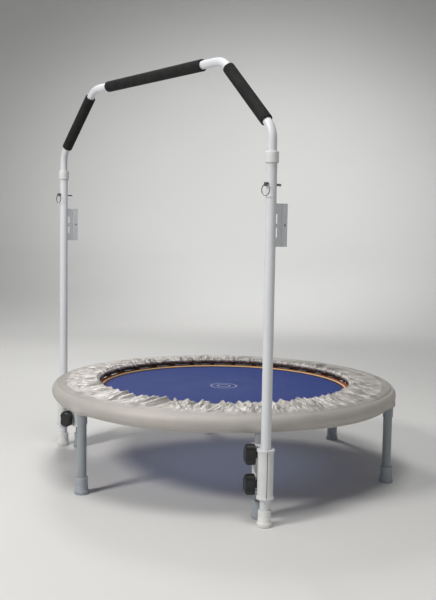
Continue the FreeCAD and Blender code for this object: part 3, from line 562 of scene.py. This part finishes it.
def make_piping():
    """A cord in a fabric strip, creased across at each stitch."""
    centre, height = sum(reach("mat_piping")) / 2, middle("mat_piping").z
    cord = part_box("mat_piping")[1].z - height
    steps, sides = 720, 12
    angle = np.linspace(0, TAU, steps, endpoint=False)
    path = np.stack([centre * np.cos(angle), centre * np.sin(angle), height + 0 * angle], -1)
    radius = cord * (0.95 + 0.05 * np.sin(180 * angle))
    points = tube_points(path, radius, sides, True)
    faces = grid_faces(steps, sides, True, True)
    piping = new_piece("mat_edge_cord", points, faces, FINISH["piping_fabric"], "bed")
    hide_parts("mat_piping")


def make_link_tabs():
    """A folded strap round each wire link, sewn under the webbing."""
    points, faces = [], []
    section = [(-24, -0.2), (-9, -0.4), (-1.5, -0.6), (1.2, 0.7)]
    section += [(1.8, 1.9), (0.8, 2.6), (-2, 2.4), (-5.5, 2.1)]
    rows = [(BAND_OUTER + out * MM, lift * MM) for out, lift in section]
    half_width = 11 * MM
    across = np.linspace(-half_width, half_width, 7)
    for k in range(SPRING_COUNT):
        angle = TAU * (k + 0.5) / SPRING_COUNT
        for radius, lift in rows:
            for y in across:
                soft = 0.0005 * (y / half_width) ** 4
                height = BAND_LOW - 0.0006 + lift - (soft if lift < 0 else -soft)
                points.append(round_z([[radius, y, height]], angle)[0])
        faces.append(grid_faces(len(rows), len(across), False) + k * len(rows) * len(across))
    tabs = new_piece(
        "link_straps", points, np.concatenate(faces), FINISH["band_webbing"], "bed"
    )
    thick = tabs.modifiers.new("thickness", "SOLIDIFY")
    thick.thickness = 0.0008


# ---------------------------------------------------------------- springs


def spring_path():
    """One spring along X, from the eye on the ring's anchor to the eye on the mat's link."""
    height = SPRING_HEIGHT
    first, last = reach("spring_anchors")[0], reach("mat_links")[1]
    eye, coil, wire, neck = 4.5 * MM, 6 * MM, 1.9 * MM, 6.8 * MM
    coil_from, coil_to = first - neck, last + neck
    turns = int((coil_from - coil_to) / (1.18 * wire))
    sweep = np.radians(np.linspace(-110, 180, 12))
    eye_out = [(first + eye * math.cos(a), 0, height + eye * math.sin(a)) for a in sweep]
    t = np.linspace(0, 1, 12 * turns + 1)
    wind = TAU * turns * t
    ramp = np.clip(np.minimum(t, 1 - t) * turns * 1.6, 0.25, 1) * coil
    x = coil_from + (coil_to - coil_from) * t
    helix = np.stack([x, ramp * np.sin(wind), height + ramp * np.cos(wind)], -1)
    sweep = np.radians(np.linspace(0, 290, 12))
    eye_in = [(last + eye * math.cos(a), 0, height + eye * math.sin(a)) for a in sweep]
    return np.concatenate([eye_out, helix, eye_in]), wire, (coil_from, coil_to)


def make_springs():
    """Each spring as a coiled wire from the frame's anchor to the mat's link, copied round the
    ring.
    """
    path, wire, (outer, inner) = spring_path()
    points = tube_points(path, wire / 2, 6)
    faces = grid_faces(len(path), 6)
    for k in range(SPRING_COUNT):
        angle = TAU * (k + 0.5) / SPRING_COUNT
        spring = new_piece(
            f"spring_{k + 1:02d}", round_z(points, angle), faces, SHADED_SPRING_WIRE
        )
        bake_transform(spring)
        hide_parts("springs")


# ---------------------------------------------------------------- edge cover and its pad


def make_pad():
    """The foam ring under the cover: rounded edges and a slightly uneven top."""
    rng = np.random.default_rng(3)
    steps, corner = 360, 5
    edge = 4 * MM
    low, high, inner, outer = FOAM_LOW, FOAM_HIGH - 0.6 * MM, FOAM_INNER, FOAM_OUTER - 4 * MM
    profile = []
    for x, z, start in (
        (inner + edge, low + edge, 180),
        (outer - edge, low + edge, 270),
        (outer - edge, high - edge, 0),
        (inner + edge, high - edge, 90),
    ):
        profile += arc((x, z), edge, start, start + 90, corner)
    top = [(radius, high) for radius in np.linspace(outer - 10 * MM, inner + 10 * MM, 8)]
    profile = profile[: 3 * corner] + top + profile[3 * corner :]
    points = turned(profile, steps)
    angle = np.arctan2(points[:, 1], points[:, 0])
    radius = np.hypot(points[:, 0], points[:, 1])
    for n in rng.integers(5, 40, 8):
        wave = np.sin(n * angle + rng.uniform(0, TAU)) * np.sin(radius * n * 2)
        points[:, 2] += 0.00012 * wave
    faces = grid_faces(len(profile), steps, True, True)
    pad = new_piece("pad_ring", points, faces, FINISH["pad_foam"], "frame")
    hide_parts("edge_foam")
    return pad


def ripple(rng, angle, low, high, count=16):
    """Uneven waves round the ring, with low to high of them in a turn."""
    total = np.zeros_like(angle)
    for n in rng.integers(low, high, count):
        total += np.sin(n * angle + rng.uniform(0, TAU))
    return total * math.sqrt(2 / count)


def cover_profile():
    """Points (radius, height) across the cover, from the lower hem to the inner hem. The side
    is round over the pad and comes in again below the frame tube."""
    casing, turn_up = 3 * MM, 8 * MM
    wide, high, reach_in = COVER_OUTER - MM, (COVER_HIGH - COVER_LOW) / 2 - MM, 24 * MM
    centre = (wide - reach_in, COVER_HIGH - MM - high)
    side = np.radians(range(-62, 91, 8))
    side = [(centre[0] + reach_in * math.cos(a), centre[1] + high * math.sin(a)) for a in side]
    start = side[0]
    points = [(start[0] + 0.5 * MM, start[1] + turn_up), (start[0] - 1.5 * MM, start[1] + 1.5 * MM)]
    points += arc((start[0] - 0.2 * MM, start[1] - 1.2 * MM), 1.3 * MM, 150, 330, 5)
    points += side
    points += arc(HEM_CORD, casing, 90, 270, 9)
    points += [(HEM_CORD[0] + MM, HEM_CORD[1] - casing - MM)]
    points += [(HEM_CORD[0], HEM_CORD[1] - casing - FRILL)]
    return np.array(points), centre[0]


def folds(rng, angle, inward, radius, count):
    """Height of the gathers: puffed folds that start at the inner hem, run out at a slant and
    end at different lengths, with sharp valleys where they meet."""
    total = np.zeros((len(inward), len(angle)))
    for k in range(count):
        length = 0.5 + 0.5 * rng.random()
        slant = rng.normal(0.03, 0.08)
        middle_angle = TAU * (k + rng.uniform(-0.35, 0.35)) / count + slant * (1 - inward)
        half = rng.uniform(8, 14) * MM * (1 + 0.9 * (1 - inward))
        along = np.clip((inward - 1 + length) / length, 0, 1)
        lean = rng.uniform(-0.5, 0.5)
        off = (angle[None, :] - middle_angle[:, None] + math.pi) % TAU - math.pi
        x = off * radius[:, None] / half[:, None]
        x = x / (1 + lean * np.sign(x))
        fade = along**0.4 * (1 - 0.6 * np.clip((inward - 0.7) / 0.3, 0, 1) ** 2)
        height = rng.uniform(8, 19) * MM * fade[:, None] * np.clip(1 - x * x, 0, 1)
        total = np.maximum(total, height)
    return total


def gathered_cloth():
    """The cover before it is settled: rows of points round the ring, the gathers on them, the
    flat cloth that they were cut from, and how firmly each row is held."""
    rng = np.random.default_rng(7)
    around, slack = 1080, 1.03
    profile, top_edge = cover_profile()
    along = np.concatenate([[0], np.cumsum(np.hypot(*np.diff(profile, axis=0).T))])
    total = along[-1]
    hem, casing = 16 * MM, 10 * MM + FRILL
    # Rows lie closer together at both hems, where the cloth turns over.
    s = [np.linspace(0, hem, 9), np.linspace(hem, total - hem - FRILL, 33)[1:-1]]
    s = np.concatenate([*s, np.linspace(total - hem - FRILL, total, 13)])
    r, z = (np.interp(s, along, profile[:, k]) for k in range(2))
    angle = np.linspace(0, TAU, around, endpoint=False)
    inward = np.clip((top_edge - r) / (top_edge - COVER_INNER), 0, 1)
    turn = angle[None, :] + 0.012 * inward[:, None] * ripple(rng, angle, 2, 8, 4)
    wave = 1 + np.tanh(ripple(rng, angle, 30, 56))
    # The gathers die out at the top's outer edge, and go on weakly round the elastic's casing.
    lift = folds(rng, angle, inward, r, 112)
    lift = np.maximum(lift, 1.6 * MM * (4 * inward * (1 - inward))[:, None] * wave)
    lift = lift * np.clip((top_edge - r + 4 * MM) / (24 * MM), 0, 1)[:, None]
    held_hem = s > total - casing
    lift = np.where(held_hem[:, None], 0.4 * lift[np.argmax(held_hem)][None, :], lift)
    # They stand up from the top, out from the casing's centre and inward on the frill.
    out_r, out_z = r - HEM_CORD[0], z - HEM_CORD[1]
    size = np.hypot(out_r, out_z)
    hanging = s > total - FRILL
    out_r = np.where(hanging, -1, np.where(held_hem, out_r / size, 0))[:, None]
    out_z = np.where(hanging, 0, np.where(held_hem, out_z / size, 1))[:, None]
    # The lower hem bulges over the leg sockets and sags a little between them.
    low = np.clip((COVER_LOW + 24 * MM - z) / (20 * MM), 0, 1) * (inward <= 0)
    bulge = np.zeros(around)
    for k in range(LEG_COUNT):
        off = (angle - TAU * (k + 0.5) / LEG_COUNT + math.pi) % TAU - math.pi
        bulge += np.exp(-((off * COVER_OUTER / (24 * MM)) ** 2))
    r = r[:, None] + 12 * MM * low[:, None] * bulge[None, :]
    sag = 0.5 + 0.5 * np.cos(LEG_COUNT * angle)
    z = z[:, None] - 2.5 * MM * low[:, None] * sag[None, :]
    out = np.stack([out_r * np.cos(turn), out_r * np.sin(turn), out_z + 0 * turn], -1)
    puff = (out * lift[:, :, None]).reshape(-1, 3)
    start = np.stack([r * np.cos(turn), r * np.sin(turn), z], -1).reshape(-1, 3)
    flat = turned(np.stack([0 * s + COVER_OUTER, COVER_LOW + slack * s], -1), around)
    rim_end = s[np.argmax(inward > 0)]
    held = np.clip(1 - (s - rim_end) / (22 * MM), 0, 1)
    held = np.where(s >= total - casing + MM, 1.0, held)
    return start, puff, flat, held, s, around, TAU * COVER_OUTER, slack * total


def settle(cloth, flat, held, around, pad, frames):
    """Lets the gathered cloth find its folds over the pad, and applies the result."""
    cloth.shape_key_add(name="Basis")
    cut = cloth.shape_key_add(name="flat")
    cut.data.foreach_set("co", flat.astype(np.float32).ravel())
    cut.value = 0
    group = cloth.vertex_groups.new(name="held")
    for row, weight in enumerate(held):
        if weight > 0:
            first = row * around
            group.add(list(range(first, first + around)), float(weight), "REPLACE")
    pad.modifiers.new("collision", "COLLISION")
    pad.collision.thickness_outer = MM
    pad.collision.cloth_friction = 5
    modifier = cloth.modifiers.new("cloth", "CLOTH")
    fabric = modifier.settings
    fabric.quality = 6
    fabric.mass = 0.1
    fabric.tension_stiffness = fabric.compression_stiffness = 60
    fabric.shear_stiffness = 3
    fabric.bending_stiffness = 0.1
    fabric.tension_damping = fabric.compression_damping = 15
    fabric.air_damping = 3
    fabric.vertex_group_mass = "held"
    fabric.rest_shape_key = cut
    modifier.collision_settings.distance_min = MM
    modifier.point_cache.frame_start, modifier.point_cache.frame_end = 1, frames
    for number in range(1, frames + 1):
        SCENE.frame_set(number)
    evaluated = cloth.evaluated_get(bpy.context.evaluated_depsgraph_get())
    settled = bpy.data.meshes.new_from_object(evaluated)
    cloth.modifiers.remove(modifier)
    pad.modifiers.remove(pad.modifiers["collision"])
    cloth.shape_key_clear()
    cloth.data = settled
    SCENE.frame_set(1)


def make_elastic(name, path, radius, node):
    """A knitted elastic cord that lies inside a hem."""
    slot = "elastic_white"
    elastic = tube_piece(name, path, radius, 8, FINISH[slot], "frame", True)
    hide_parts(node)


def make_cover(pad):
    """The fabric cover: smooth round the side, gathered by its elastics at both edges."""
    start, puff, flat, held, s, around, length, width = gathered_cloth()
    rows = len(s)
    faces = grid_faces(rows, around)
    loose = start + 0.25 * puff
    cover = new_piece("cover_cloth", loose, faces, FINISH["cover_fabric"])
    settle(cover, flat, held, around, pad, 6)
    mesh = cover.data
    for point, gather in zip(mesh.vertices, puff):
        point.co = point.co + Vector(0.9 * gather)
    layer = mesh.uv_layers.new(name="cloth")
    column, row = np.arange(around), np.arange(rows - 1)
    u = np.stack([column, column + 1, column + 1, column], -1) * length / around
    v = s[-1] - np.stack([s[row], s[row], s[row + 1], s[row + 1]], -1)
    uv = np.stack(np.broadcast_arrays(u[None, :, :], v[:, None, :]), -1)
    layer.data.foreach_set("uv", uv.astype(np.float32).ravel())
    mesh.shade_smooth()
    fine = cover.modifiers.new("finer", "SUBSURF")
    fine.levels = fine.render_levels = 1
    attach(cover, "frame")
    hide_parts("edge_cover")
    points = np.array([p.co for p in mesh.vertices]).reshape(rows, around, 3)

    def row_at(length):
        return int(np.argmin(np.abs(s - length)))

    pocket = (points[row_at(5 * MM)] + points[row_at(14 * MM)]) / 2
    make_elastic("elastic_lower_hem", pocket[::3], 1.1 * MM, "skirt_elastic")
    inner = turned([HEM_CORD], 360)
    make_elastic("elastic_inner_hem", inner, 1.9 * MM, "hem_elastic")
    for label, at in (("lower", 23 * MM), ("inner", s[-1] - FRILL - 12.5 * MM)):
        row = row_at(at)
        seam = points[row]
        along = np.roll(seam, -1, axis=0) - np.roll(seam, 1, axis=0)
        normal = np.cross(along, points[row + 1] - points[row - 1])
        normal /= np.linalg.norm(normal, axis=1)[:, None]
        name = f"cover_stitches_{label}"
        stitches(name, seam, normal, 0.0045, 0.0007, SILVER_THREAD, "frame")


# ---------------------------------------------------------------- small metal pieces


def make_split_rings():
    """Each pull ring as a real split ring: two turns of wire side by side."""
    for side in ("right", "left"):
        node = f"pin_ring_{side}"
        low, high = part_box(node)
        centre = (low + high) / 2
        wire = (high.y - low.y) / 2
        radius = (high.x - low.x) / 2 - wire
        t = np.linspace(0, 1, 97)
        wind = TAU * 2 * t + 0.6
        shift = np.clip((t - 0.42) / 0.16, 0, 1) - 0.5
        path = np.stack(
            [
                centre.x + (radius + 0.2 * wire * np.cos(wind)) * np.cos(wind),
                centre.y + wire * shift,
                centre.z + radius * np.sin(wind),
            ],
            -1,
        )
        name = f"split_ring_{side}"
        ring = tube_piece(name, path, wire / 2, 8, FINISH["zinc_steel"], node)
        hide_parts(node)


def make_weld_beads():
    """Scalloped weld beads between each bracket plate, its post and its socket tube."""
    length, rings, sides = 22 * MM, 23, 8
    thick = (1.3 + 0.3 * np.abs(np.sin(np.arange(rings) * math.pi / 4))) * MM
    thick[[0, -1]] = 0.3 * MM
    for side in ("right", "left"):
        low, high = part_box(f"holder_bracket_{side}")
        plate, post = middle(f"holder_bracket_{side}"), middle(f"post_{side}")
        half = (high.x - low.x) / 2
        post_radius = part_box(f"post_{side}")[1].x - post.x
        at_post = post.y + math.sqrt(post_radius**2 - half**2) + 0.4 * MM
        at_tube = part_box(f"accessory_tube_{side}")[0].y - 0.4 * MM
        points, faces = [], []
        for y in (at_post, at_tube):
            for way in (-1, 1):
                for start in (low.z + 2 * MM, plate.z - length / 2, high.z - length - 2 * MM):
                    z = np.linspace(start, start + length, rings)
                    path = np.stack([0 * z + plate.x + way * half, 0 * z + y, z], -1)
                    faces.append(grid_faces(rings, sides) + rings * sides * len(points))
                    points.append(tube_points(path, thick, sides))
        material = FINISH["white_steel"]
        name = f"bracket_welds_{side}"
        new_piece(name, np.concatenate(points), np.concatenate(faces), material, "frame")


# ---------------------------------------------------------------- studio and camera


def studio():
    """A pale floor that rises into a round backdrop, lit from the front, above and behind. The
    paint carries a band of painted light at the foot of the bend and painted shade higher up the
    backdrop.
    """
    paint = Finish("studio_paint", (0.72, 0.715, 0.70), 0.85, Specular_IOR_Level=0.1)
    tone = paint.spread(paint.noise(0.6, 2), 0.3, 0.7)
    tone = paint.mix(tone, (0.70, 0.695, 0.68), (0.735, 0.73, 0.715))
    radius, _ = paint.from_axis()
    # Painted light: a lighter band of paint at the foot of the backdrop's bend.
    painted_light_at_bend = paint.math(
        "MULTIPLY", paint.spread(radius, 2.2, 3.5), paint.spread(radius, 3.5, 4.8, 1.0, 0.0)
    )
    tone = paint.mix(painted_light_at_bend, tone, (0.88, 0.87, 0.85))
    # Painted shade: the backdrop's paint darkens higher up.
    tone = paint.mix(paint.spread(paint.part("Z"), 2.1, 4.6), tone, (0.58, 0.575, 0.56))
    paint.colour(tone)
    flat, bend = 3.0, 3.6
    rows = [(0.001, 0.0), (0.6, 0.0), (1.5, 0.0), (flat, 0.0)]
    rows += [
        (flat + bend * math.sin(a), bend - bend * math.cos(a)) for a in np.radians(range(3, 90, 3))
    ]
    rows += [(flat + bend, bend), (flat + bend, 5.0), (flat + bend, 7.0)]
    steps = 96
    mesh = bpy.data.meshes.new("backdrop")
    mesh.from_pydata(turned(rows, steps).tolist(), [], grid_faces(len(rows), steps).tolist())
    mesh.materials.append(paint.material)
    mesh.shade_smooth()
    backdrop = bpy.data.objects.new("backdrop", mesh)
    SCENE.collection.objects.link(backdrop)

    world = bpy.data.worlds.new("studio")
    world.use_nodes = True
    SCENE.world = world
    background = world.node_tree.nodes["Background"]
    background.inputs["Color"].default_value = (0.86, 0.93, 1.0, 1)
    background.inputs["Strength"].default_value = 0.22

    def lamp(name, place, target, size, power, colour=(1, 1, 1)):
        light = bpy.data.lights.new(name, "AREA")
        light.shape = "DISK"
        light.size = size
        light.energy = power
        light.color = colour
        lamp = bpy.data.objects.new(name, light)
        lamp.location = place
        aim = Vector(target) - Vector(place)
        lamp.rotation_euler = aim.to_track_quat("-Z", "Y").to_euler()
        SCENE.collection.objects.link(lamp)

    lamp("key", (0.1, -3.0, 2.5), (0, 0, 0.3), 0.8, 64, (1.0, 0.985, 0.965))
    lamp("overhead", (0.7, -0.6, 3.5), (0.1, -0.1, 0), 1.4, 44, (1.0, 0.985, 0.965))
    lamp("rim", (-2.4, 0.9, 2.3), (0, 0, 0.2), 0.8, 32, (1.0, 0.99, 0.98))
    lamp("through_mat", (0, 0, 0.16), (0, 0, 0), 0.62, 0.2, (0.62, 0.72, 1.0))
    wall = bpy.data.lights.new("wall", "SPOT")
    wall.energy = 270
    wall.spot_size = math.radians(108)
    wall.spot_blend = 1.0
    wall.shadow_soft_size = 0.5
    wash = bpy.data.objects.new("wall", wall)
    wash.location = (-2.2, 2.3, 3.3)
    aim = Vector((-4.65, 4.4, 0.0)) - wash.location
    wash.rotation_euler = aim.to_track_quat("-Z", "Y").to_euler()
    SCENE.collection.objects.link(wash)


def camera():
    """The camera stands south-east of the object, higher than the mat and lower than the grips."""
    azimuth, distance, height = math.radians(49.3), 2.496, 0.701
    pitch, roll, pan = 0.0797, 0.0164, -0.0088
    forward = Vector((-math.sin(azimuth), math.cos(azimuth), 0))
    right = Vector((math.cos(azimuth), math.sin(azimuth), 0))
    up = Vector((0, 0, 1))
    forward, right = (
        math.cos(pan) * forward + math.sin(pan) * right,
        math.cos(pan) * right - math.sin(pan) * forward,
    )
    forward, up = (
        math.cos(pitch) * forward - math.sin(pitch) * up,
        math.cos(pitch) * up + math.sin(pitch) * forward,
    )
    right, up = (
        math.cos(roll) * right + math.sin(roll) * up,
        math.cos(roll) * up - math.sin(roll) * right,
    )
    data = bpy.data.cameras.new("camera")
    data.sensor_width = 36
    data.lens = 49.62
    data.clip_end = 60
    view = bpy.data.objects.new("camera", data)
    SCENE.collection.objects.link(view)
    turn = Matrix((right, up, -forward)).transposed().to_4x4()
    place = (distance * math.sin(azimuth), -distance * math.cos(azimuth), height)
    view.matrix_world = Matrix.Translation(place) @ turn
    SCENE.camera = view


# ---------------------------------------------------------------- the whole picture

SCENE.view_settings.view_transform = "Standard"
dress_cad_nodes()
make_mat()
make_band()
make_piping()
make_link_tabs()
make_springs()
make_cover(make_pad())
make_split_rings()
make_weld_beads()
studio()
camera()
